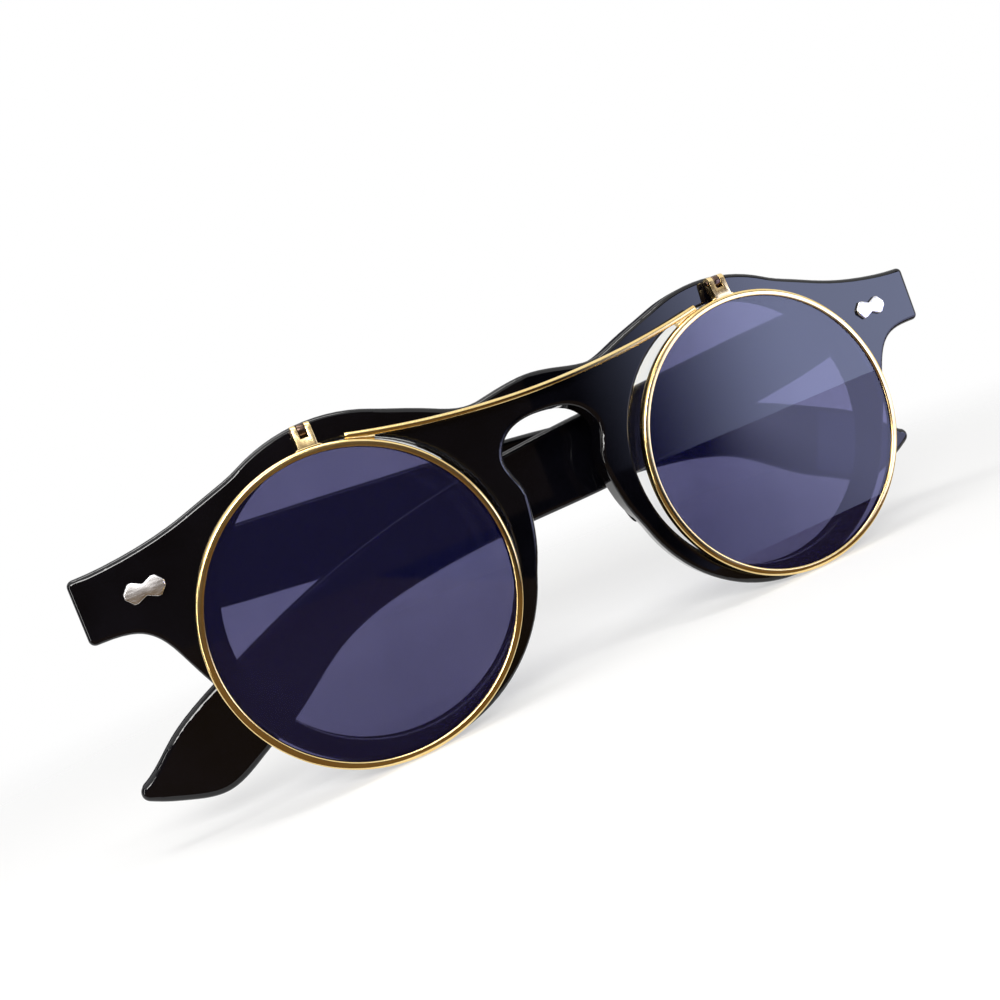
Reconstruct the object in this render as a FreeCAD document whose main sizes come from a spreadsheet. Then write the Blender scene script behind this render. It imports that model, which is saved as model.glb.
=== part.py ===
import FreeCAD, Part
import math
import os

# Flip-up sunglasses, folded, tinted pair down. The origin is the top of the nose gap at mid thickness.
# +X runs to the wearer's left, +Y runs back towards the face and +Z runs up.
doc = FreeCAD.newDocument("flip_up_sunglasses")
sheet = doc.addObject("Spreadsheet::Sheet", "sizes")

# Driving dimensions in millimetres; names that end in Angle are in degrees
driving = {
    # Front
    "frontWidth": 143.5,
    "frontThickness": 4.5,
    "eyeSpacing": 66.6,
    "eyeDrop": 15.2,
    "eyeRadius": 21.8,
    "rimWidth": 4.1,
    "rimNoseWidth": 3.2,
    "rimBottomWidth": 3.1,
    "noseBevel": 1.1,
    "bridgeHeight": 6.1,
    "noseWaist": 6.75,
    "noseBulge": 8.3,
    "endTopRise": 1.15,
    "endHeight": 9.35,
    "endCornerRound": 0.9,
    "frontEdgeRound": 0.7,
    "eyeEdgeRound": 0.5,
    "browStartAngle": 62,
    "browEndAngle": 110,
    "jawAngle": 200,
    "cheekAngle": -25,
    # Clear lenses
    "lensThickness": 1.6,
    "lensSeat": 0.8,
    "lensClearance": 0.05,
    # Nose pads
    "padLength": 10.5,
    "padWidth": 2.2,
    "padDepth": 1.8,
    "padAngle": 184,
    # Plaques
    "plaqueWidth": 5.7,
    "plaqueHeight": 3.0,
    "plaqueThickness": 0.55,
    "plaqueBevel": 0.18,
    "plaqueInset": 9.05,
    "studRadius": 0.5,
    "studSpacing": 2.8,
    # Temple hinges
    "hingeInset": 6.7,
    "hingeStandoff": 2.2,
    "knuckleRadius": 1.3,
    "knuckleHeight": 1.4,
    "knuckleGap": 0.06,
    "hingeScrewRadius": 0.6,
    "screwHeadRadius": 0.95,
    "screwHeadHeight": 0.5,
    "screwSlotWidth": 0.25,
    "screwSlotDepth": 0.25,
    "leafThickness": 0.7,
    "leafLength": 8.4,
    "leafCornerRound": 0.6,
    "hingeSkewAngle": 1.2,
    # Temples
    "templeLength": 140.9,
    "templeDrop": 36.5,
    "templeThickness": 3.0,
    "templeEdgeRound": 0.9,
    "templeOffset": 1.9,
    "buttGap": 0.2,
    "stackGap": 0.3,
    "leafSink": 0.35,
    "coreRadius": 0.6,
    "coreStart": 9.5,
    "coreLength": 80,
    "coreDrop": 5.4,
    # Flip-up rims and tinted lenses
    "flipSpacing": 71.5,
    "flipDrop": 16.6,
    "flipRadius": 22.2,
    "flipWire": 1.15,
    "flipDepth": 1.7,
    "flipGap": 0.8,
    "flipEdgeRound": 0.35,
    "tintThickness": 1.0,
    "tintSeat": 0.5,
    # Bar across the rims; its reach is measured from the bracket or the crown, the one nearer the middle
    "barRadius": 0.5,
    "barReach": 3.74,
    "barSag": 3.2,
    # Flip hinges
    "bracketSpacing": 70.8,
    "bracketWidth": 2.92,
    "bracketPlate": 0.95,
    "notchWidth": 1.2,
    "pivotRise": 9.45,
    "pivotReach": 1.1,
    "eyeletRadius": 0.95,
    "flipPinRadius": 0.4,
    "flipPinProud": 0.12,
    "anchorWidth": 2.5,
    "anchorHeight": 1.5,
    "anchorDepth": 1.5,
    # Fits
    "runningClearance": 0.03,
    "seatClearance": 0.03,
    "solderGap": 0.03,
    "swingClearance": 0.3,
    "cutOverrun": 1.0,
}
for row, (alias, value) in enumerate(driving.items(), start=1):
    sheet.set(f"A{row}", alias)
    sheet.set(f"B{row}", str(value))
    sheet.setAlias(f"B{row}", alias)
doc.recompute()

vector = FreeCAD.Vector
alongX = FreeCAD.Rotation(vector(0, 1, 0), 90)
alongY = FreeCAD.Rotation(vector(1, 0, 0), -90)
upright = FreeCAD.Rotation()
home = FreeCAD.Placement()
sides = {"left": 1, "right": -1}
nodes = {}


def size(alias):
    return float(sheet.get(alias))


overrun = size("cutOverrun")
frontFace = -size("frontThickness") / 2
backFace = size("frontThickness") / 2
eyeX = size("eyeSpacing") / 2
eyeZ = -size("eyeDrop")
endX = size("frontWidth") / 2
endTop = size("endTopRise")
endMiddle = endTop - size("endHeight") / 2
hingeX = endX - size("hingeInset")
flipOuter = size("flipRadius") + size("flipWire")
flipBack = frontFace - size("flipGap")
flipFront = flipBack - size("flipDepth")
flipX = size("flipSpacing") / 2
flipZ = -size("flipDrop")
bracketX = size("bracketSpacing") / 2
pivotY = frontFace - size("pivotReach")
pivotZ = size("pivotRise")
knuckleStep = size("knuckleHeight") + size("knuckleGap")
knuckleCount = 5
hingeHeight = knuckleCount * knuckleStep - size("knuckleGap")
hingeBottom = endMiddle - hingeHeight / 2
# The right hinge stands further back, so that the right temple folds flat over the left one
stackStep = size("templeThickness") + size("stackGap")
standoffs = {"left": size("hingeStandoff"), "right": size("hingeStandoff") + stackStep}
# The right hinge is fitted at a slight tilt, so that the right temple lies a little higher when folded
skews = {"left": 0, "right": -size("hingeSkewAngle")}


def primitive(kind, label, bindings, base=vector(0, 0, 0), turn=upright):
    thing = doc.addObject(kind, label)
    for name, expression in bindings.items():
        thing.setExpression(name, expression)
    thing.Placement = FreeCAD.Placement(base, turn)
    return thing


def node(name, thing):
    thing.Label = name
    nodes[name] = thing


def solid_node(name, shape, place=home):
    thing = doc.addObject("Part::Feature", name)
    thing.Shape = shape
    thing.Placement = place
    node(name, thing)


def cut_pair(label, base, tool):
    cut = doc.addObject("Part::Cut", label)
    cut.Base = base
    cut.Tool = tool
    return cut


def block(x0, x1, y0, y1, z0, z1):
    corner = vector(min(x0, x1), min(y0, y1), min(z0, z1))
    return Part.makeBox(abs(x1 - x0), abs(y1 - y0), abs(z1 - z0), corner)


def rod(radius, start, end):
    run = end.sub(start)
    return Part.makeCylinder(radius, run.Length, start, run)


def curve_through(points, start, end):
    curve = Part.BSplineCurve()
    curve.interpolate(Points=points, InitialTangent=start, FinalTangent=end, Scale=False)
    return curve.toShape()


def flat_edges(shape, levels):
    tolerance = overrun / 1000
    flat = [edge for edge in shape.Edges if edge.BoundBox.YLength < tolerance]
    return [edge for edge in flat if min(abs(edge.BoundBox.YMin - level) for level in levels) < tolerance]


# Front, cut from one sheet, with the sides of the nose gap bevelled towards the back
def on_front(x, z):
    return vector(x, frontFace, z)


def rim_point(angle, width):
    turn = math.radians(angle)
    reach = size("eyeRadius") + width
    return on_front(eyeX + reach * math.cos(turn), eyeZ + reach * math.sin(turn))


def rim_tangent(angle):
    turn = math.radians(angle)
    return vector(-math.sin(turn), 0, math.cos(turn))


def along(start, end, shares):
    return [on_front(start.x + (end.x - start.x) * u, start.z + (end.z - start.z) * v) for u, v in shares]


def front_outline(bevel):
    browStart = size("browStartAngle")
    browEnd = size("browEndAngle")
    browAngles = (browStart, (browStart + browEnd) / 2, browEnd)
    lowest = 270
    brow = [rim_point(angle, size("rimWidth")) for angle in browAngles]
    jaw = rim_point(size("jawAngle"), size("rimNoseWidth") - bevel)
    cheek = rim_point(size("cheekAngle"), size("rimBottomWidth"))
    lower = Part.Arc(jaw, rim_point(lowest, size("rimBottomWidth")), cheek).toShape()
    apex = on_front(0, 0)
    bridgeTop = on_front(0, size("bridgeHeight"))
    endLow = on_front(endX, endTop - size("endHeight"))
    endHigh = on_front(endX, endTop)
    waistShare = 0.72
    bulgeShare = 0.33
    shoulderShares = (0.76, 0.105)
    waist = on_front(size("noseWaist"), eyeZ * waistShare)
    down = vector(0, 0, -1)
    noseShape = [
        apex,
        on_front(size("noseBulge") * shoulderShares[0], eyeZ * shoulderShares[1]),
        on_front(size("noseBulge"), eyeZ * bulgeShare),
        waist,
    ]
    jawShares = ((0.13, 0.305), (0.5, 0.685))
    cheekShares = (
        (0.222, 0.418), (0.323, 0.62), (0.412, 0.792), (0.486, 0.885), (0.585, 0.954), (0.708, 0.989))
    endShares = ((0.321, 0.122), (0.592, 0.38), (0.805, 0.685))
    bridgeShares = ((0.69, 1.07), (0.45, 0.77), (0.225, 0.885))
    bridgeShape = [on_front(brow[2].x * u, size("bridgeHeight") * v) for u, v in bridgeShares]
    jawShape = along(waist, jaw, jawShares)
    cheekShape = along(cheek, endLow, cheekShares)
    endShape = along(endHigh, brow[0], endShares)
    half = [
        curve_through(noseShape, vector(1, 0, 0), down),
        curve_through([waist] + jawShape + [jaw], down, lower.tangentAt(lower.FirstParameter)),
        lower,
        curve_through([cheek] + cheekShape + [endLow], lower.tangentAt(lower.LastParameter), vector(1, 0, 0)),
        Part.makeLine(endLow, endHigh),
        curve_through([endHigh] + endShape + brow[:1], vector(-1, 0, 0), rim_tangent(browAngles[0])),
        Part.Arc(brow[0], brow[1], brow[2]).toShape(),
        curve_through(brow[2:] + bridgeShape + [bridgeTop], rim_tangent(browAngles[2]), vector(-1, 0, 0)),
    ]
    other = [edge.mirror(apex, vector(1, 0, 0)) for edge in half]
    return Part.Wire(Part.__sortEdges__(half + other))


def stud_places(side):
    middle = endX - size("plaqueInset")
    half = size("studSpacing") / 2
    return [side * (middle - half), side * (middle + half)]


def front_frame():
    back = front_outline(size("noseBevel"))
    back.translate(vector(0, size("frontThickness"), 0))
    sheetShape = Part.makeLoft([front_outline(0), back], True, True)
    corners = [e for e in sheetShape.Edges if e.BoundBox.XLength + e.BoundBox.ZLength < overrun / 1000]
    corners = [e for e in corners if abs(e.BoundBox.XMin) > endX - overrun / 1000]
    shape = sheetShape.makeFillet(size("endCornerRound"), corners)
    shape = shape.makeFillet(size("frontEdgeRound"), flat_edges(shape, (frontFace, backFace)))
    for side in sides.values():
        centre = vector(side * eyeX, 0, eyeZ)
        through = vector(0, backFace + overrun, 0)
        shape = shape.cut(rod(size("eyeRadius"), centre.sub(through), centre.add(through)))
    rounds = [e for e in flat_edges(shape, (frontFace, backFace)) if hasattr(e.Curve, "Radius")]
    rounds = [e for e in rounds if abs(e.Curve.Radius - size("eyeRadius")) < overrun / 1000]
    shape = shape.makeFillet(size("eyeEdgeRound"), rounds)
    for side in sides.values():
        centre = vector(side * eyeX, 0, eyeZ)
        groove = vector(0, size("lensThickness") / 2 + size("lensClearance"), 0)
        seat = size("eyeRadius") + size("lensSeat")
        shape = shape.cut(rod(seat, centre.sub(groove), centre.add(groove)))
        for x in stud_places(side):
            start = vector(x, frontFace - overrun, endMiddle)
            end = vector(x, backFace + overrun, endMiddle)
            shape = shape.cut(rod(size("studRadius") + size("seatClearance"), start, end))
        halfWidth = size("anchorWidth") / 2 + size("seatClearance")
        middle = side * bracketX
        shape = shape.cut(block(
            middle - halfWidth, middle + halfWidth,
            frontFace - overrun, frontFace + size("anchorDepth") + size("seatClearance"),
            pivotZ - size("anchorHeight") - size("seatClearance"), pivotZ + size("seatClearance"),
        ))
    return shape


# Clear lens, seated in the groove of the front
def clear_lens(word, side):
    lens = primitive("Part::Cylinder", f"{word}_clear_lens", {
        "Radius": "sizes.eyeRadius + sizes.lensSeat - sizes.lensClearance",
        "Height": "sizes.lensThickness",
    }, vector(side * eyeX, -size("lensThickness") / 2, eyeZ), alongY)
    node(f"{word}_clear_lens", lens)


# Nose pad, a half ellipsoid glued to the back of the rim
def nose_pad(word, side):
    turn = math.radians(size("padAngle"))
    reach = size("eyeRadius") + size("eyeEdgeRound") + size("padWidth") / 2
    middle = vector(side * (eyeX + reach * math.cos(turn)), backFace, eyeZ + reach * math.sin(turn))
    lean = FreeCAD.Rotation(vector(0, 1, 0), -side * (size("padAngle") - 180))
    whole = primitive("Part::Ellipsoid", f"{word}_pad_whole", {
        "Radius1": "sizes.padLength / 2",
        "Radius2": "sizes.padWidth / 2",
        "Radius3": "sizes.padDepth",
    }, middle, lean)
    front = primitive("Part::Box", f"{word}_pad_front", {
        "Length": "sizes.padLength + 2 * sizes.cutOverrun",
        "Width": "sizes.padDepth + sizes.cutOverrun",
        "Height": "sizes.padLength + 2 * sizes.cutOverrun",
    }, middle.sub(vector(
        size("padLength") / 2 + overrun, size("padDepth") + overrun, size("padLength") / 2 + overrun)))
    node(f"{word}_nose_pad", cut_pair(f"{word}_nose_pad", whole, front))


# Plaque on the end piece, with the two studs that clench the hinge leaf
def plaque(word, side):
    halfWidth = size("plaqueWidth") / 2
    halfHeight = size("plaqueHeight") / 2
    lobeShares = ((1, 0.25), (0.66, 1), (0.46, 1), (0, 0.58))
    upperShares = lobeShares + tuple((-u, v) for u, v in reversed(lobeShares[:3]))
    lozengeShares = upperShares + tuple((-u, -v) for u, v in upperShares)
    top = frontFace - size("plaqueThickness")
    corners = [vector(halfWidth * u, top, halfHeight * v) for u, v in lozengeShares]
    face = Part.Face(Part.makePolygon(corners + corners[:1]))
    plate = face.extrude(vector(0, size("plaqueThickness"), 0))
    plate = plate.makeChamfer(size("plaqueBevel"), flat_edges(plate, (top,)))
    middle = side * (endX - size("plaqueInset"))
    for x in stud_places(side):
        start = vector(x - middle, frontFace, 0)
        end = vector(x - middle, backFace + size("leafThickness"), 0)
        plate = plate.fuse(rod(size("studRadius"), start, end))
    place = FreeCAD.Placement(vector(middle, 0, endMiddle), upright)
    solid_node(f"{word}_plaque", plate.removeSplitter(), place)


# Hinge between the front and a temple, about an upright screw
def hinge_axis(word, side):
    return vector(side * hingeX, backFace + standoffs[word], 0)


def hinge_place(word, side):
    turn = FreeCAD.Rotation(vector(0, 1, 0), skews[word])
    return FreeCAD.Placement(vector(0, 0, 0), turn, vector(side * hingeX, 0, endMiddle))


def knuckles(axis, wanted, webs):
    shape = webs
    for index in wanted:
        foot = hingeBottom + index * knuckleStep
        start = vector(axis.x, axis.y, foot)
        end = vector(axis.x, axis.y, foot + size("knuckleHeight"))
        shape = shape.fuse(rod(size("knuckleRadius"), start, end))
    low = vector(axis.x, axis.y, hingeBottom - overrun)
    high = vector(axis.x, axis.y, hingeBottom + hingeHeight + overrun)
    return shape.cut(rod(size("hingeScrewRadius") + size("runningClearance"), low, high)).removeSplitter()


def leaf(axis, side, near, far):
    plate = block(
        axis.x, axis.x - side * size("leafLength"), near, far, hingeBottom, hingeBottom + hingeHeight)
    across = [e for e in plate.Edges if e.BoundBox.YLength > abs(far - near) / 2]
    across = [e for e in across if abs(e.BoundBox.XMin - axis.x) > overrun]
    return plate.makeFillet(size("leafCornerRound"), across)


def front_hinge(word, side):
    axis = hinge_axis(word, side)
    plate = leaf(axis, side, backFace, backFace + size("leafThickness"))
    wanted = range(0, knuckleCount, 2)
    for index in wanted:
        foot = hingeBottom + index * knuckleStep
        plate = plate.fuse(block(
            axis.x - size("knuckleRadius"), axis.x + size("knuckleRadius"),
            backFace, axis.y, foot, foot + size("knuckleHeight"),
        ))
    place = hinge_place(word, side)
    back = place.inverse()
    for x in stud_places(side):
        start = back.multVec(vector(x, backFace - overrun, endMiddle))
        end = back.multVec(vector(x, backFace + size("leafThickness") + size("seatClearance"), endMiddle))
        plate = plate.cut(rod(size("studRadius") + size("seatClearance"), start, end))
    solid_node(f"{word}_front_hinge", knuckles(axis, wanted, plate), place)


def temple_inner(axis):
    return axis.y + size("templeOffset")


def temple_hinge(word, side):
    axis = hinge_axis(word, side)
    near = temple_inner(axis) + size("leafSink") - size("leafThickness")
    plate = leaf(axis, side, near, near + size("leafThickness"))
    wanted = range(1, knuckleCount, 2)
    for index in wanted:
        foot = hingeBottom + index * knuckleStep
        plate = plate.fuse(block(
            axis.x, axis.x - side * size("knuckleRadius"),
            axis.y, near, foot, foot + size("knuckleHeight"),
        ))
    solid_node(f"{word}_temple_hinge", knuckles(axis, wanted, plate), hinge_place(word, side))


def hinge_screw(word, side):
    axis = hinge_axis(word, side)
    foot = vector(axis.x, axis.y, hingeBottom)
    shank = primitive("Part::Cylinder", f"{word}_screw_shank", {"Radius": "sizes.hingeScrewRadius"}, foot)
    shank.Height = hingeHeight + size("screwHeadHeight")
    top = vector(axis.x, axis.y, hingeBottom + hingeHeight + size("seatClearance"))
    head = primitive("Part::Cylinder", f"{word}_screw_head", {
        "Radius": "sizes.screwHeadRadius",
        "Height": "sizes.screwHeadHeight",
    }, top)
    whole = doc.addObject("Part::Fuse", f"{word}_screw_whole")
    whole.Base = shank
    whole.Tool = head
    slot = primitive("Part::Box", f"{word}_screw_slot", {
        "Length": "2 * sizes.screwHeadRadius + 2 * sizes.cutOverrun",
        "Width": "sizes.screwSlotWidth",
        "Height": "sizes.screwSlotDepth + sizes.cutOverrun",
    }, top.add(vector(
        -size("screwHeadRadius") - overrun,
        -size("screwSlotWidth") / 2,
        size("screwHeadHeight") - size("screwSlotDepth"),
    )))
    screw = cut_pair(f"{word}_hinge_screw", whole, slot)
    screw.Placement = hinge_place(word, side)
    node(f"{word}_hinge_screw", screw)


# Temple, a flat blade that bends down behind the ear, here folded across the back
def butt_x(word, side):
    return side * (hingeX + standoffs[word] - size("buttGap"))


def temple(word, side):
    axis = hinge_axis(word, side)
    inner = temple_inner(axis)
    topShares = (
        (0, 0), (0.331, 0.075), (0.513, 0.141), (0.649, 0.232), (0.754, 0.35), (0.899, 0.59), (0.957, 0.724))
    tipShares = ((0.9947, 0.84), (1, 0.873), (0.9952, 0.906))
    lowShares = (
        (0.959, 0.968), (0.922, 1), (0.87, 0.917), (0.838, 0.852), (0.758, 0.64), (0.658, 0.524),
        (0.499, 0.472), (0.399, 0.458), (0.299, 0.414), (0.199, 0.362), (0.1, 0.312), (0, 0.256))

    def blade_point(u, v):
        run = side * size("templeLength") * u
        return vector(butt_x(word, side) - run, inner, endTop - size("templeDrop") * v)

    top = [blade_point(u, v) for u, v in topShares]
    tip = [blade_point(u, v) for u, v in tipShares]
    low = [blade_point(u, v) for u, v in lowShares]
    bend = Part.Arc(tip[0], tip[1], tip[2]).toShape()
    edges = [
        curve_through(top + tip[:1], vector(-side, 0, 0), bend.tangentAt(bend.FirstParameter)),
        bend,
        curve_through(tip[2:] + low, bend.tangentAt(bend.LastParameter), vector(side, 0, 0)),
        Part.makeLine(low[-1], top[0]),
    ]
    shape = Part.Face(Part.Wire(edges)).extrude(vector(0, size("templeThickness"), 0))
    outer = inner + size("templeThickness")
    rounds = [e for e in flat_edges(shape, (inner, outer)) if e.BoundBox.XLength > overrun / 1000]
    shape = shape.makeFillet(size("templeEdgeRound"), rounds)
    clear = size("seatClearance")
    shape = shape.cut(block(
        axis.x + side * clear, axis.x - side * (size("leafLength") + clear),
        inner - overrun, inner + size("leafSink") + clear,
        hingeBottom - clear, hingeBottom + hingeHeight + clear,
    ))
    start, end = core_run(word, side)
    shape = shape.cut(rod(size("coreRadius") + clear, start, end))
    solid_node(f"{word}_temple", shape, hinge_place(word, side))


# Stiffening wire inside the temple, in a bore along the blade
def core_run(word, side):
    axis = hinge_axis(word, side)
    middle = temple_inner(axis) + size("templeThickness") / 2
    start = vector(butt_x(word, side) - side * size("coreStart"), middle, endMiddle)
    end = start.add(vector(-side * size("coreLength"), 0, -size("coreDrop")))
    return start, end


def core_wire(word, side):
    start, end = core_run(word, side)
    run = end.sub(start)
    wire = primitive("Part::Cylinder", f"{word}_core_wire", {"Radius": "sizes.coreRadius"},
                     start, FreeCAD.Rotation(vector(0, 0, 1), run))
    wire.Height = run.Length
    wire.Placement = hinge_place(word, side).multiply(wire.Placement)
    node(f"{word}_core_wire", wire)


# Flip-up rim, a grooved ring, and the tinted lens sprung into it
def flip_rim(word, side):
    centre = vector(side * flipX, flipFront, flipZ)
    ring = primitive("Part::Cylinder", f"{word}_ring_outside", {
        "Radius": "sizes.flipRadius + sizes.flipWire",
        "Height": "sizes.flipDepth",
    }, centre, alongY)
    hole = primitive("Part::Cylinder", f"{word}_ring_inside", {
        "Radius": "sizes.flipRadius",
        "Height": "sizes.flipDepth + 2 * sizes.cutOverrun",
    }, centre.sub(vector(0, overrun, 0)), alongY)
    plain = cut_pair(f"{word}_ring_plain", ring, hole)
    doc.recompute()
    rounded = doc.addObject("Part::Fillet", f"{word}_ring_rounded")
    rounded.Base = plain
    circles = [i for i, e in enumerate(plain.Shape.Edges, start=1) if e.BoundBox.YLength < overrun / 1000]
    rounded.Edges = [(i, size("flipEdgeRound"), size("flipEdgeRound")) for i in circles]
    wall = (size("flipDepth") - size("tintThickness")) / 2 - size("lensClearance")
    groove = primitive("Part::Cylinder", f"{word}_ring_groove", {
        "Radius": "sizes.flipRadius + sizes.tintSeat",
        "Height": "sizes.tintThickness + 2 * sizes.lensClearance",
    }, centre.add(vector(0, wall, 0)), alongY)
    node(f"{word}_flip_rim", cut_pair(f"{word}_flip_rim", rounded, groove))


def flip_lens(word, side):
    front = flipFront + (size("flipDepth") - size("tintThickness")) / 2
    lens = primitive("Part::Cylinder", f"{word}_flip_lens", {
        "Radius": "sizes.flipRadius + sizes.tintSeat - sizes.lensClearance",
        "Height": "sizes.tintThickness",
    }, vector(side * flipX, front, flipZ), alongY)
    node(f"{word}_flip_lens", lens)


# Bar, a long shallow arc of round wire soldered on the tops of both rims
def flip_bar():
    setback = flipX - min(flipX, bracketX) + size("bracketWidth") / 2 + size("barReach")
    ringRise = math.sqrt(flipOuter ** 2 - setback ** 2)
    lift = (flipOuter + size("solderGap") + size("barRadius")) / flipOuter
    endZ = flipZ + ringRise * lift
    endReach = flipX - setback * lift
    middleZ = endZ - size("barSag")
    bend = (endReach ** 2 + size("barSag") ** 2) / (2 * size("barSag"))
    half = math.degrees(math.asin(endReach / bend))
    bar = primitive("Part::Torus", "flip_bar", {"Radius2": "sizes.barRadius"},
                    vector(0, flipFront + size("flipDepth") / 2, middleZ + bend),
                    FreeCAD.Rotation(vector(1, 0, 0), 90).multiply(
                        FreeCAD.Rotation(vector(0, 0, 1), 270 - half)))
    bar.Radius1 = bend
    bar.Angle3 = 2 * half
    node("flip_bar", bar)


# Flip hinge: a forked bracket on the rim turns about a pin in an eyelet that is let into the front
def flip_bracket(word, side):
    half = size("bracketWidth") / 2
    ringTop = flipZ + flipOuter - pivotZ
    frontY = flipFront - pivotY
    across = vector(size("bracketWidth"), 0, 0)
    foot = ringTop - size("bracketPlate")
    plateCorners = [
        vector(-half, frontY, foot),
        vector(-half, frontY + size("bracketPlate"), foot),
        vector(-half, size("eyeletRadius"), 0),
        vector(-half, -size("eyeletRadius"), 0),
    ]
    shape = Part.Face(Part.makePolygon(plateCorners + plateCorners[:1])).extrude(across)
    shape = shape.fuse(rod(size("eyeletRadius"), vector(-half, 0, 0), vector(half, 0, 0)))
    slotFloor = -size("eyeletRadius") - size("swingClearance")
    slot = size("notchWidth") / 2
    slotTop = size("eyeletRadius") + overrun
    shape = shape.cut(block(-slot, slot, frontY - overrun, slotTop, slotFloor, slotTop))
    shape = shape.cut(rod(size("flipPinRadius") + size("seatClearance"), vector(-half - overrun, 0, 0),
                          vector(half + overrun, 0, 0)))
    toRing = vector(side * (flipX - bracketX), 0, flipZ - pivotZ)
    ringStart = toRing.add(vector(0, -flipOuter, 0))
    ringEnd = toRing.add(vector(0, flipOuter, 0))
    shape = shape.cut(rod(flipOuter + size("solderGap"), ringStart, ringEnd))
    place = FreeCAD.Placement(vector(side * bracketX, pivotY, pivotZ), upright)
    solid_node(f"{word}_flip_bracket", shape.removeSplitter(), place)


def flip_base(word, side):
    half = size("notchWidth") / 2 - size("knuckleGap")
    radius = size("eyeletRadius")
    shape = rod(radius, vector(-half, 0, 0), vector(half, 0, 0))
    shape = shape.fuse(block(-half, half, 0, size("pivotReach") + size("anchorDepth"), -radius, 0))
    wide = size("anchorWidth") / 2
    shape = shape.fuse(block(
        -wide, wide, size("pivotReach"), size("pivotReach") + size("anchorDepth"), -size("anchorHeight"), 0))
    bore = size("flipPinRadius") + size("runningClearance")
    shape = shape.cut(rod(bore, vector(-half - overrun, 0, 0), vector(half + overrun, 0, 0)))
    place = FreeCAD.Placement(vector(side * bracketX, pivotY, pivotZ), upright)
    solid_node(f"{word}_flip_base", shape.removeSplitter(), place)


def flip_pin(word, side):
    start = side * bracketX - size("bracketWidth") / 2 - size("flipPinProud")
    pin = primitive("Part::Cylinder", f"{word}_flip_pin", {
        "Radius": "sizes.flipPinRadius",
        "Height": "sizes.bracketWidth + 2 * sizes.flipPinProud",
    }, vector(start, pivotY, pivotZ), alongX)
    node(f"{word}_flip_pin", pin)


solid_node("front_frame", front_frame())
flip_bar()
sidePieces = (
    clear_lens, nose_pad, plaque, front_hinge, temple_hinge, hinge_screw, temple, core_wire,
    flip_rim, flip_lens, flip_bracket, flip_base, flip_pin,
)
for word, side in sides.items():
    for piece in sidePieces:
        piece(word, side)
doc.recompute()

failed = [thing.Label for thing in doc.Objects if {"Invalid", "Error"} & set(thing.State)]
failed += [name for name, thing in nodes.items() if thing.Shape.isNull() or not thing.Shape.isValid()]
failed += [name for name, thing in nodes.items() if len(thing.Shape.Solids) != 1]
if failed:
    raise RuntimeError("pieces that failed: " + ", ".join(failed))

os.makedirs("parts", exist_ok=True)
for name, thing in nodes.items():
    thing.Shape.exportStep(f"parts/{name}.step")
    print(f"{name}: {thing.Shape.Volume:.2f} cubic millimetres")
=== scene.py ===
import math

import bmesh
import bpy
from mathutils import Matrix, Vector


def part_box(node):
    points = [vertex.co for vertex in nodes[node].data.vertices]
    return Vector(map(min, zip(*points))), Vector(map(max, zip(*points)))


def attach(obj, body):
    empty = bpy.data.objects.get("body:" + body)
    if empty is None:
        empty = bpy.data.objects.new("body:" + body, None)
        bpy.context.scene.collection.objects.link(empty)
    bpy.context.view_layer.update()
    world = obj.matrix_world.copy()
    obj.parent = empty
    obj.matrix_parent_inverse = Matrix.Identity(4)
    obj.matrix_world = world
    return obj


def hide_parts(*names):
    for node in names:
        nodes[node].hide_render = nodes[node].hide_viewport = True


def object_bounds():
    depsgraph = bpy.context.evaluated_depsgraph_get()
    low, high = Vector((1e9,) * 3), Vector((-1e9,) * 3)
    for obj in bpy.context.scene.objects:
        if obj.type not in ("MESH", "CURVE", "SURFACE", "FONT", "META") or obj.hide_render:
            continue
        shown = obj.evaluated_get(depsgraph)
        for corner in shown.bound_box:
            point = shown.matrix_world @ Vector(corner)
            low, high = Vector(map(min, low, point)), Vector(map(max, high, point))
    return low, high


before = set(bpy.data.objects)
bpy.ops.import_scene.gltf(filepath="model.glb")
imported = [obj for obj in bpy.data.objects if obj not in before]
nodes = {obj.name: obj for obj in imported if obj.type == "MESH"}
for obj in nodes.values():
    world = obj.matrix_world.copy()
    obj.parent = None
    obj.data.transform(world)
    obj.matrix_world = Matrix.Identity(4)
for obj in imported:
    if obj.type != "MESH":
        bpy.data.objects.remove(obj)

cadLow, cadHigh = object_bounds()
mm = 0.001
weld = 0.001 * mm  # points closer than this are merged
sides = {"left": 1, "right": -1}  # the wearer's sides, with the sign of X there
print("frame loaded:", len(nodes), "nodes")


def addObject(name, data):
    made = bpy.data.objects.new(name, data)
    bpy.context.scene.collection.objects.link(made)
    return made


# Camera, where the photographer stood: a little to the left, rolled so that the front climbs to the right
cameraSpec = {
    "place": (-57.171, -150.983, -2.009),
    "right": (0.885725, -0.293627, -0.359549),
    "down": (-0.358718, 0.058681, -0.931600),
    "forward": (0.294641, 0.954117, -0.053354),
    "lens": 37.378,
    "sensor": 36.0,
    "nearest": 1.0,
}


def setCamera(spec):
    data = bpy.data.cameras.new("photoCamera")
    data.lens = spec["lens"]
    data.sensor_width = spec["sensor"]
    data.clip_start = spec["nearest"] * mm
    camera = addObject("photoCamera", data)
    up = [-c for c in spec["down"]]
    back = [-c for c in spec["forward"]]
    axes = Matrix((spec["right"], up, back)).transposed()
    camera.matrix_world = Matrix.Translation(Vector(spec["place"]) * mm) @ axes.to_4x4()
    bpy.context.scene.camera = camera


setCamera(cameraSpec)
print("camera set")


# Node helpers
def startMaterial(name):
    material = bpy.data.materials.new(name)
    material.use_nodes = True
    tree = material.node_tree
    shader = tree.nodes["Principled BSDF"]
    return material, tree, shader


def addNode(tree, kind, **values):
    made = tree.nodes.new(kind)
    for key, value in values.items():
        if hasattr(made, key):
            setattr(made, key, value)
        else:
            made.inputs[key].default_value = value
    return made


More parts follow.
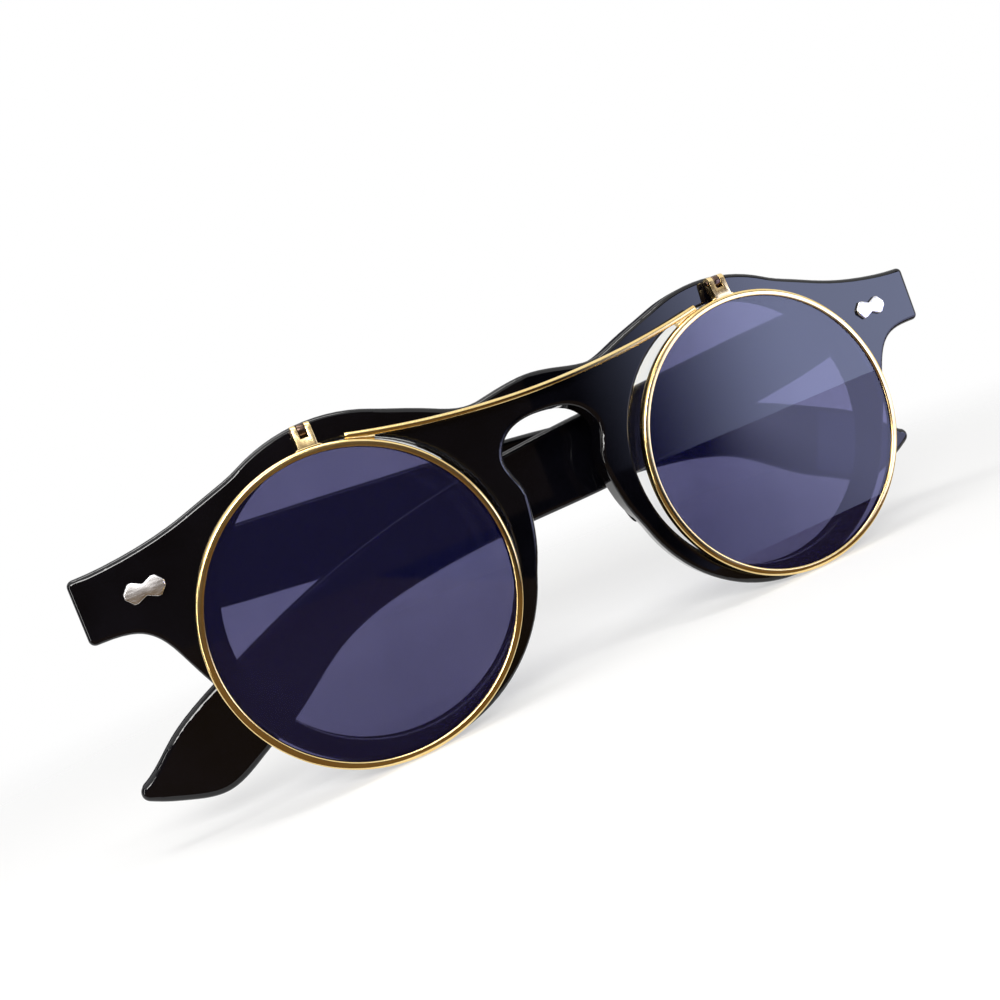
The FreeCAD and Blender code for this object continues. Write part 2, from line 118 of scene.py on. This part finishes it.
def setInputs(node, values):
    for key, value in values.items():
        node.inputs[key].default_value = value


def noiseAt(tree, scale, detail, stretch=(1, 1, 1)):
    place = addNode(tree, "ShaderNodeTexCoord")
    mapping = addNode(tree, "ShaderNodeMapping", Scale=stretch)
    noise = addNode(tree, "ShaderNodeTexNoise", Scale=scale, Detail=detail)
    tree.links.new(place.outputs["Object"], mapping.inputs["Vector"])
    tree.links.new(mapping.outputs["Vector"], noise.inputs["Vector"])
    return noise.outputs["Fac"]


def ramp(tree, source, places, colours):
    made = addNode(tree, "ShaderNodeValToRGB")
    tree.links.new(source, made.inputs["Fac"])
    for element, place, colour in zip(made.color_ramp.elements, places, colours):
        element.position = place
        element.color = (*colour, 1)
    return made.outputs["Color"]


noiseMiddle = (0.3, 0.7)  # most of a noise lies between these


def span(tree, source, low, high):
    made = addNode(tree, "ShaderNodeMapRange")
    setInputs(made, {"From Min": noiseMiddle[0], "From Max": noiseMiddle[1], "To Min": low, "To Max": high})
    tree.links.new(source, made.inputs["Value"])
    return made.outputs["Result"]


def smoothFade(tree, source, start, end):
    made = addNode(tree, "ShaderNodeMapRange", interpolation_type="SMOOTHSTEP")
    setInputs(made, {"From Min": start * mm, "From Max": end * mm})
    tree.links.new(source, made.inputs["Value"])
    return made.outputs["Result"]


def bumped(tree, shader, source, strength, depth):
    made = addNode(tree, "ShaderNodeBump", Strength=strength, Distance=depth * mm)
    tree.links.new(source, made.inputs["Height"])
    tree.links.new(made.outputs["Normal"], shader.inputs["Normal"])


def mixed(tree, share, first, second):
    made = addNode(tree, "ShaderNodeMixShader")
    tree.links.new(share, made.inputs["Fac"])
    tree.links.new(first, made.inputs[1])
    tree.links.new(second, made.inputs[2])
    return made.outputs["Shader"]


def showSurface(tree, source, output="Material Output"):
    tree.links.new(source, tree.nodes[output].inputs["Surface"])


# Black acetate: faint clouds in the colour, hairlines in the polish, a slight ripple
acetateSpec = {
    "deep": (0.0006, 0.0006, 0.0011), "pale": (0.0020, 0.0019, 0.0032), "index": 1.47,
    "clouds": 70.0, "cloudDetail": 4, "cloudStops": (0.35, 0.7),
    "hairlines": 900.0, "hairlineDetail": 6, "hairlineStretch": (1, 1, 0.12),
    "polish": (0.025, 0.05), "ripple": 0.05, "rippleDepth": 0.1,
}


def blackAcetate(spec):
    material, tree, shader = startMaterial("blackAcetate")
    clouds = noiseAt(tree, spec["clouds"], spec["cloudDetail"])
    colour = ramp(tree, clouds, spec["cloudStops"], (spec["deep"], spec["pale"]))
    hairlines = noiseAt(tree, spec["hairlines"], spec["hairlineDetail"], spec["hairlineStretch"])
    tree.links.new(colour, shader.inputs["Base Color"])
    tree.links.new(span(tree, hairlines, *spec["polish"]), shader.inputs["Roughness"])
    shader.inputs["IOR"].default_value = spec["index"]
    bumped(tree, shader, clouds, spec["ripple"], spec["rippleDepth"])
    return material


# Metals: stains from dull to bright, and a fine grain in polish and relief
metalNoise = {"stainDetail": 5, "stainStops": (0.3, 0.65), "grainDetail": 8, "reliefDepth": 0.02}
metalSpecs = {
    "goldPlate": {
        "dull": (0.90, 0.63, 0.24), "bright": (0.97, 0.76, 0.36), "stain": 180.0,
        "grain": 3200.0, "stretch": (1, 1, 1), "polish": (0.12, 0.16), "relief": 0.006,
    },
    "goldSatin": {
        "dull": (0.84, 0.60, 0.27), "bright": (0.96, 0.77, 0.42), "stain": 300.0,
        "grain": 2600.0, "stretch": (1, 1, 0.3), "polish": (0.20, 0.28), "relief": 0.02,
    },
    "silverPlate": {
        "dull": (0.72, 0.70, 0.71), "bright": (0.92, 0.91, 0.91), "stain": 500.0,
        "grain": 3600.0, "stretch": (0.2, 1, 1), "polish": (0.20, 0.29), "relief": 0.03,
    },
    "hingeNickel": {
        "dull": (0.46, 0.45, 0.44), "bright": (0.62, 0.61, 0.59), "stain": 400.0,
        "grain": 3000.0, "stretch": (1, 1, 0.2), "polish": (0.22, 0.32), "relief": 0.05,
    },
    "darkHinge": {
        "dull": (0.05, 0.032, 0.026), "bright": (0.16, 0.105, 0.08), "stain": 600.0,
        "grain": 2400.0, "stretch": (1, 1, 1), "polish": (0.2, 0.36), "relief": 0.2,
    },
}


def metalFinish(name, spec):
    material, tree, shader = startMaterial(name)
    stain = noiseAt(tree, spec["stain"], metalNoise["stainDetail"])
    colour = ramp(tree, stain, metalNoise["stainStops"], (spec["dull"], spec["bright"]))
    grain = noiseAt(tree, spec["grain"], metalNoise["grainDetail"], spec["stretch"])
    tree.links.new(colour, shader.inputs["Base Color"])
    tree.links.new(span(tree, grain, *spec["polish"]), shader.inputs["Roughness"])
    shader.inputs["Metallic"].default_value = 1
    bumped(tree, shader, grain, spec["relief"], metalNoise["reliefDepth"])
    return material


# Glass, with faint smears, lets the lamps through to what lies behind it, in its own tint
glassNoise = {"smearDetail": 3, "smearStretch": (1, 1, 0.4), "smearStops": (0.3, 0.7)}
glassSpecs = {
    "clearGlass": {
        "tint": (0.86, 0.865, 0.86), "tintThin": (0.88, 0.885, 0.88), "shade": (0.92, 0.92, 0.92),
        "index": 1.5, "veil": 0.0, "veilSpread": 0.5, "veilTint": (1, 1, 1),
        "smears": 120.0, "polish": (0.0, 0.012),
    },
    "navyGlass": {
        "tint": (0.100, 0.098, 0.198), "tintThin": (0.116, 0.113, 0.223), "shade": (0.13, 0.13, 0.23),
        "index": 1.5, "veil": 0.03, "veilSpread": 0.9, "veilTint": (0.01, 0.02, 1.0),
        "smears": 90.0, "polish": (0.0, 0.02),
    },
}


def lensGlass(name, spec):
    material, tree, shader = startMaterial(name)
    setInputs(shader, {
        "Transmission Weight": 1, "IOR": spec["index"], "Sheen Weight": spec["veil"],
        "Sheen Roughness": spec["veilSpread"], "Sheen Tint": (*spec["veilTint"], 1),
    })
    smears = noiseAt(tree, spec["smears"], glassNoise["smearDetail"], glassNoise["smearStretch"])
    tint = ramp(tree, smears, glassNoise["smearStops"], (spec["tint"], spec["tintThin"]))
    tree.links.new(tint, shader.inputs["Base Color"])
    tree.links.new(span(tree, smears, *spec["polish"]), shader.inputs["Roughness"])
    clear = addNode(tree, "ShaderNodeBsdfTransparent", Color=(*spec["shade"], 1))
    path = addNode(tree, "ShaderNodeLightPath")
    surface = mixed(tree, path.outputs["Is Shadow Ray"], shader.outputs["BSDF"], clear.outputs["BSDF"])
    showSurface(tree, surface)
    return material


finishes = {"blackAcetate": blackAcetate(acetateSpec)}
for finishName, finishSpec in metalSpecs.items():
    finishes[finishName] = metalFinish(finishName, finishSpec)
for finishName, finishSpec in glassSpecs.items():
    finishes[finishName] = lensGlass(finishName, finishSpec)
print("finishes made:", len(finishes))


# Mesh helpers
def meshFrom(bm, name):
    mesh = bpy.data.meshes.new(name)
    bm.to_mesh(mesh)
    bm.free()
    return mesh


def turned(degrees, axis):
    return Matrix.Rotation(math.radians(degrees), 3, axis)


def uprightDisc(segments, radius):
    bm = bmesh.new()
    bmesh.ops.create_circle(bm, cap_ends=True, segments=segments, radius=radius)
    bmesh.ops.rotate(bm, cent=(0, 0, 0), matrix=turned(90, "Y"), verts=bm.verts)
    return bm


def closeShell(bm):
    bmesh.ops.remove_doubles(bm, verts=bm.verts, dist=weld)
    bmesh.ops.recalc_face_normals(bm, faces=bm.faces)


def edgesOver(bm, degrees):
    return [e for e in bm.edges if e.is_manifold and e.calc_face_angle() > math.radians(degrees)]


# Every piece is shaded smooth up to its sharp angle, gets its finish and rides on its body
def finishPiece(bm, name, finish, body, replaced, sharpAngle=30):
    mesh = meshFrom(bm, name)
    if "custom_normal" in mesh.attributes:
        mesh.attributes.remove(mesh.attributes["custom_normal"])
    for face in mesh.polygons:
        face.use_smooth = True
    mesh.set_sharp_from_angle(angle=math.radians(sharpAngle))
    mesh.materials.clear()
    mesh.materials.append(finishes[finish])
    piece = addObject(name, mesh)
    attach(piece, body)
    if replaced:
        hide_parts(*replaced)


# Lens blank: a shallow meniscus, spun about its own axis, with a small chamfer at its edge
lensSpecs = {
    "clear_lens": {"bulge": 0.4, "chamfer": 0.15, "rings": 14, "steps": 160,
                   "finish": "clearGlass", "body": "front", "slot": "clear_lens"},
    "flip_lens": {"bulge": 0.25, "chamfer": 0.12, "rings": 14, "steps": 160,
                  "finish": "navyGlass", "body": "flip_pair", "slot": "tinted_lens"},
}


def lensBlank(kind, side, spec):
    node = f"{side}_{kind}"
    low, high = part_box(node)
    centre = (low + high) / 2
    radius = (high.z - low.z) / 2
    chamfer = spec["chamfer"] * mm
    inner = radius - chamfer
    shares = [i / spec["rings"] for i in range(spec["rings"] + 1)]
    front = [(inner * u, low.y - spec["bulge"] * mm * (1 - u * u)) for u in shares]
    back = [(inner * u, high.y - spec["bulge"] * mm * (1 - u * u)) for u in reversed(shares)]
    profile = front + [(radius, low.y + chamfer), (radius, high.y - chamfer)] + back
    bm = bmesh.new()
    dots = [bm.verts.new((centre.x + r, y, centre.z)) for r, y in profile]
    lines = [bm.edges.new(pair) for pair in zip(dots, dots[1:])]
    bmesh.ops.spin(bm, geom=dots + lines, cent=(centre.x, 0, centre.z), axis=(0, 1, 0),
                   angle=2 * math.pi, steps=spec["steps"], use_merge=True)
    closeShell(bm)
    finishPiece(bm, f"{side}_{kind}_blank", spec["finish"], spec["body"], [node])


for side in sides:
    for kind, spec in lensSpecs.items():
        lensBlank(kind, side, spec)
print("lenses made")


# Gold rims: one wire section with a round crown, smaller lips and a groove for the lens,
# spun about the lens axis
rimSpec = {"wire": 1.15, "crown": 0.5, "lip": 0.28, "segments": 8, "slack": 0.04, "steps": 240, "sharp": 40}


def goldRim(side, spec):
    low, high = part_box(f"{side}_flip_rim")
    lensLow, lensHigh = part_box(f"{side}_flip_lens")
    centre = (low + high) / 2
    slack = spec["slack"] * mm
    outer = (high.z - low.z) / 2
    inner = outer - spec["wire"] * mm
    seat = (lensHigh.z - lensLow.z) / 2 + slack
    grooveFront = lensLow.y - slack
    grooveBack = lensHigh.y + slack
    section = [(outer, low.y), (outer, high.y), (inner, high.y), (inner, grooveBack),
               (seat, grooveBack), (seat, grooveFront), (inner, grooveFront), (inner, low.y)]
    bm = bmesh.new()
    dots = [bm.verts.new((centre.x + r, y, centre.z)) for r, y in section]
    bm.faces.new(dots)
    crown = [dots[0]]
    lips = [dots[1], dots[2], dots[-1]]
    for corners, size in ((crown, spec["crown"]), (lips, spec["lip"])):
        bmesh.ops.bevel(bm, geom=corners, offset=size * mm, offset_type="OFFSET", segments=spec["segments"],
                        profile=0.5, affect="VERTICES", material=-1)
    bmesh.ops.delete(bm, geom=bm.faces[:], context="FACES_ONLY")
    bmesh.ops.spin(bm, geom=bm.verts[:] + bm.edges[:], cent=centre, axis=(0, 1, 0), angle=2 * math.pi,
                   steps=spec["steps"], use_merge=True)
    closeShell(bm)
    finishPiece(bm, f"{side}_flip_rim_spun", "goldPlate", "flip_pair", [f"{side}_flip_rim"],
                spec["sharp"])


for side in sides:
    goldRim(side, rimSpec)
print("rims spun")


# Bar: a round wire bent to one arc that sags in the middle, cut square at its ends
barSpec = {"radius": 0.5, "sag": 3.2, "sides": 28, "steps": 72,
           "edge": 0.07, "edgeSegments": 2, "edgeAngle": 60, "sharp": 40}


def goldBar(spec):
    low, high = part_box("flip_bar")
    radius = spec["radius"] * mm
    sag = spec["sag"] * mm
    half = 2 * math.atan(sag / high.x)  # half of the arc, as an angle
    reach = high.x - radius * math.sin(half)
    bend = (reach ** 2 + sag ** 2) / (2 * sag)
    depth = (low.y + high.y) / 2
    pole = Vector((0, depth, low.z + radius + bend))
    bm = uprightDisc(spec["sides"], radius)
    bmesh.ops.translate(bm, verts=bm.verts, vec=(0, depth, low.z + radius))
    bmesh.ops.rotate(bm, cent=pole, matrix=Matrix.Rotation(-half, 3, "Y"), verts=bm.verts)
    bmesh.ops.spin(bm, geom=bm.verts[:] + bm.edges[:] + bm.faces[:], cent=pole, axis=(0, 1, 0),
                   angle=2 * half, steps=spec["steps"])
    closeShell(bm)
    bmesh.ops.bevel(bm, geom=edgesOver(bm, spec["edgeAngle"]), offset=spec["edge"] * mm,
                    offset_type="OFFSET", segments=spec["edgeSegments"], profile=0.5, affect="EDGES",
                    material=-1)
    finishPiece(bm, "flip_bar_bent", "goldPlate", "flip_pair", ["flip_bar"], spec["sharp"])


goldBar(barSpec)
print("bar bent")


# Small metal pieces with their edges broken, from merged copies of their own solids
solidCopy = {"weld": 0.002, "flatAngle": 1, "edgeAngle": 35}
brokenEdgeSpecs = {
    "flip_bracket": {"edge": 0.14, "segments": 3,
                     "finish": "goldSatin", "body": "flip_pair", "slot": "gold_metal"},
    "flip_base": {"edge": 0.08, "segments": 2,
                  "finish": "darkHinge", "body": "front", "slot": "dark_metal"},
    "plaque": {"edge": 0.07, "segments": 3,
               "finish": "silverPlate", "body": "front", "slot": "silver_plaque"},
    "flip_pin": {"edge": 0.11, "segments": 4,
                 "finish": "darkHinge", "body": "flip_pair", "slot": "dark_metal"},
}


def brokenEdges(kind, side, spec):
    node = f"{side}_{kind}"
    bm = bmesh.new()
    bm.from_mesh(nodes[node].data)
    bmesh.ops.remove_doubles(bm, verts=bm.verts, dist=solidCopy["weld"] * mm)
    bmesh.ops.dissolve_limit(bm, angle_limit=math.radians(solidCopy["flatAngle"]),
                             verts=bm.verts, edges=bm.edges)
    bmesh.ops.bevel(bm, geom=edgesOver(bm, solidCopy["edgeAngle"]), offset=spec["edge"] * mm,
                    offset_type="OFFSET", segments=spec["segments"], profile=0.5, affect="EDGES",
                    material=-1, clamp_overlap=True)
    finishPiece(bm, f"{side}_{kind}_dressed", spec["finish"], spec["body"], [node])


for side in sides:
    for kind, spec in brokenEdgeSpecs.items():
        brokenEdges(kind, side, spec)
print("small metal pieces made")


# Solder: a fillet in the wedge between the bar's end and the rim, higher as the bar leaves the rim,
# and a bead along each bracket's foot, thinner at its ends
solderSpecs = {
    "bar_solder": {"reach": 4.3, "half": (0.13, 0.50), "rise": 0.10, "sides": 14, "steps": 12,
                   "swell": 0.034},
    "foot_solder": {"reach": 4.0, "half": (0.24, 0.26), "rise": 0.02, "sides": 10, "steps": 16,
                    "taper": 6, "tip": 0.02, "inset": 0.36},
}


def solderBead(kind, side, spec, start, depth):
    low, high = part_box(f"{side}_flip_rim")
    centre = (low + high) / 2
    radius = (high.z - low.z) / 2
    inward = -sides[side]
    turn = spec["reach"] * mm / radius
    halfHeight, halfDepth = spec["half"]
    crest = halfHeight + spec["rise"]
    bm = uprightDisc(spec["sides"], mm)
    bmesh.ops.scale(bm, vec=(1, halfDepth, halfHeight), verts=bm.verts)
    bmesh.ops.translate(bm, verts=bm.verts, vec=(centre.x, depth, high.z + spec["rise"] * mm))
    bmesh.ops.rotate(bm, cent=centre, matrix=Matrix.Rotation(inward * start, 3, "Y"), verts=bm.verts)
    bmesh.ops.spin(bm, geom=bm.verts[:] + bm.edges[:] + bm.faces[:], cent=centre, axis=(0, 1, 0),
                   angle=inward * turn, steps=spec["steps"])
    bmesh.ops.remove_doubles(bm, verts=bm.verts, dist=weld)
    for vert in bm.verts:
        spoke = Vector((vert.co.x - centre.x, 0, vert.co.z - centre.z))
        along = (inward * math.atan2(spoke.x, spoke.z) - start) * radius / mm
        proud = spoke.length - radius
        if "swell" in spec:
            proud += max(proud, 0) * spec["swell"] * along ** 2 / crest
        else:
            fromMiddle = 2 * along / spec["reach"] - 1
            fade = math.sqrt(max(1 - fromMiddle ** spec["taper"], spec["tip"]))
            proud *= fade
            vert.co.y = depth + (vert.co.y - depth) * fade
        spoke *= (radius + proud) / spoke.length
        vert.co.x = centre.x + spoke.x
        vert.co.z = centre.z + spoke.z
    bmesh.ops.recalc_face_normals(bm, faces=bm.faces)
    finishPiece(bm, f"{side}_{kind}", "goldSatin", "flip_pair", [])


barLow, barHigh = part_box("flip_bar")
barSolder = solderSpecs["bar_solder"]
footSolder = solderSpecs["foot_solder"]
for side in sides:
    ringLow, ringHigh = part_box(f"{side}_flip_rim")
    footLow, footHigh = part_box(f"{side}_flip_bracket")
    ringRadius = (ringHigh.z - ringLow.z) / 2
    ringMiddle = abs(ringLow.x + ringHigh.x) / 2
    barStart = math.asin((ringMiddle - barHigh.x) / ringRadius)
    footMiddle = ringMiddle - abs(footLow.x + footHigh.x) / 2
    footStart = math.asin((footMiddle - footSolder["reach"] / 2 * mm) / ringRadius)
    solderBead("bar_solder", side, barSolder, barStart, (barLow.y + barHigh.y) / 2)
    solderBead("foot_solder", side, footSolder, footStart, ringLow.y + footSolder["inset"] * mm)
print("solder laid")


# Finishes of the solids that stay as they are
stayingFinishes = {
    "blackAcetate": ["front_frame", "nose_pad", "temple"],
    "hingeNickel": ["front_hinge", "temple_hinge", "hinge_screw", "core_wire"],
}
for finish, kinds in stayingFinishes.items():
    for name, thing in nodes.items():
        if name in kinds or name.split("_", 1)[1] in kinds:
            thing.data.materials.clear()
            thing.data.materials.append(finishes[finish])
print("solids finished")


# What shows as background, by sight, in gloss or through glass
def backgroundRays(tree):
    path = addNode(tree, "ShaderNodeLightPath")
    seen = addNode(tree, "ShaderNodeMath", operation="MAXIMUM")
    shown = addNode(tree, "ShaderNodeMath", operation="MAXIMUM")
    tree.links.new(path.outputs["Is Camera Ray"], seen.inputs[0])
    tree.links.new(path.outputs["Is Glossy Ray"], seen.inputs[1])
    tree.links.new(seen.outputs["Value"], shown.inputs[0])
    tree.links.new(path.outputs["Is Transmission Ray"], shown.inputs[1])
    return shown.outputs["Value"]


# Pale floor, which keeps the shadow and fades out into the white surround
floorSpec = {"below": 0.1, "radius": 320.0, "sides": 96, "tone": (0.9, 0.9, 0.9),
             "fadeStart": 80.0, "fadeEnd": 250.0, "whiteShare": 0.5}


def paleFloor(spec):
    bm = bmesh.new()
    bmesh.ops.create_circle(bm, cap_ends=True, segments=spec["sides"], radius=spec["radius"] * mm)
    bmesh.ops.translate(bm, verts=bm.verts, vec=(0, 0, cadLow.z - spec["below"] * mm))
    mesh = meshFrom(bm, "paleFloor")
    floor = addObject("paleFloor", mesh)
    material, tree, shader = startMaterial("paleFloor")
    setInputs(shader, {"Base Color": (*spec["tone"], 1), "Roughness": 1, "Specular IOR Level": 0})
    place = addNode(tree, "ShaderNodeTexCoord")
    reach = addNode(tree, "ShaderNodeVectorMath", operation="LENGTH")
    tree.links.new(place.outputs["Object"], reach.inputs[0])
    fade = smoothFade(tree, reach.outputs["Value"], spec["fadeStart"], spec["fadeEnd"])
    white = addNode(tree, "ShaderNodeEmission", Strength=1.0)
    share = addNode(tree, "ShaderNodeMath", operation="MULTIPLY")
    share.inputs[1].default_value = spec["whiteShare"]
    tree.links.new(backgroundRays(tree), share.inputs[0])
    lit = mixed(tree, share.outputs["Value"], shader.outputs["BSDF"], white.outputs["Emission"])
    clear = addNode(tree, "ShaderNodeBsdfTransparent")
    showSurface(tree, mixed(tree, fade, lit, clear.outputs["BSDF"]))
    mesh.materials.append(material)


# Soft boxes, all turned to the middle of the glasses
lampAim = (0, 0, -15)
lampSpecs = {
    "keyBox": {"place": (-120, -340, 150), "size": (280, 100), "power": 1.5, "colour": (1.0, 0.99, 0.97)},
    "leftBox": {"place": (-330, -120, 60), "size": (40, 220), "power": 0.25, "colour": (1.0, 0.98, 0.95)},
    "topBox": {"place": (-40, -60, 340), "size": (340, 70), "power": 0.6, "colour": (1.0, 0.99, 0.97)},
}


def softBox(name, spec):
    data = bpy.data.lights.new(name, "AREA")
    data.shape = "RECTANGLE"
    data.size = spec["size"][0] * mm
    data.size_y = spec["size"][1] * mm
    data.energy = spec["power"]
    data.color = spec["colour"]
    lamp = addObject(name, data)
    lamp.location = Vector(spec["place"]) * mm
    aim = Vector(lampAim) * mm - lamp.location
    lamp.rotation_euler = aim.to_track_quat("-Z", "Y").to_euler()


# Studio cards, seen by reflections alone: dark ones in front, below, behind and at the side keep the
# black gloss black and the gold deep, and two blue ones light the right lens and end piece
cardSpecs = {
    "frontFlag": {"place": (20, -360, -15), "half": (440, 195), "turn": (90, 0),
                  "tone": (0.082, 0.058, 0.042)},
    "floorFlag": {"place": (30, -188, -39.9), "half": (300, 182), "turn": (0, 0),
                  "tone": (0.15, 0.094, 0.042)},
    "backFlag": {"place": (0, 300, 60), "half": (350, 110), "turn": (90, 0),
                 "tone": (0.05, 0.05, 0.06)},
    "sideFlag": {"place": (-410, -100, 110), "half": (250, 150), "turn": (90, 90),
                 "tone": (0.05, 0.05, 0.06)},
    "skyCard": {"place": (300, -350, 5), "half": (170, 45), "turn": (90, 0),
                "tone": (3.5, 3.9, 6.0), "fade": (150, 300), "along": (1, 0, 0)},
    "bounceCard": {"place": (185, -192, -39.6), "half": (160, 162), "turn": (0, 0),
                   "tone": (1.9, 2.0, 3.2), "fade": (5, 65), "along": (1, 0.55, 0)},
}


def studioCard(name, spec):
    bm = bmesh.new()
    bmesh.ops.create_grid(bm, x_segments=1, y_segments=1, size=1)
    bmesh.ops.scale(bm, vec=(spec["half"][0] * mm, spec["half"][1] * mm, 1), verts=bm.verts)
    for degrees, axis in zip(spec["turn"], "XZ"):
        bmesh.ops.rotate(bm, cent=(0, 0, 0), matrix=turned(degrees, axis), verts=bm.verts)
    bmesh.ops.translate(bm, verts=bm.verts, vec=Vector(spec["place"]) * mm)
    mesh = meshFrom(bm, name)
    flag = addObject(name, mesh)
    material, tree, shader = startMaterial(name)
    tree.nodes.remove(shader)
    glow = addNode(tree, "ShaderNodeEmission", Color=(*spec["tone"], 1))
    if "fade" in spec:
        place = addNode(tree, "ShaderNodeTexCoord")
        along = addNode(tree, "ShaderNodeVectorMath", operation="DOT_PRODUCT")
        along.inputs[1].default_value = spec["along"]
        tree.links.new(place.outputs["Object"], along.inputs[0])
        tree.links.new(smoothFade(tree, along.outputs["Value"], *spec["fade"]), glow.inputs["Strength"])
    showSurface(tree, glow.outputs["Emission"])
    mesh.materials.append(material)
    flag.visible_camera = False
    flag.visible_diffuse = False
    flag.visible_shadow = False
    flag.visible_transmission = False


# White surround: it lights at the ambient level and shows as plain white
worldSpec = {"tone": (1, 1, 1), "ambient": 0.38, "shown": 1.0}


def whiteSurround(spec):
    world = bpy.data.worlds.new("whiteSurround")
    bpy.context.scene.world = world
    world.use_nodes = True
    tree = world.node_tree
    tone = (*spec["tone"], 1)
    ambient = tree.nodes["Background"]
    setInputs(ambient, {"Color": tone, "Strength": spec["ambient"]})
    white = addNode(tree, "ShaderNodeBackground", Color=tone, Strength=spec["shown"])
    surround = mixed(tree, backgroundRays(tree), ambient.outputs["Background"], white.outputs["Background"])
    showSurface(tree, surround, "World Output")


paleFloor(floorSpec)
for lampName, lampSpec in lampSpecs.items():
    softBox(lampName, lampSpec)
for cardName, cardSpec in cardSpecs.items():
    studioCard(cardName, cardSpec)
whiteSurround(worldSpec)
bpy.context.scene.view_settings.view_transform = "Standard"
print("studio set")
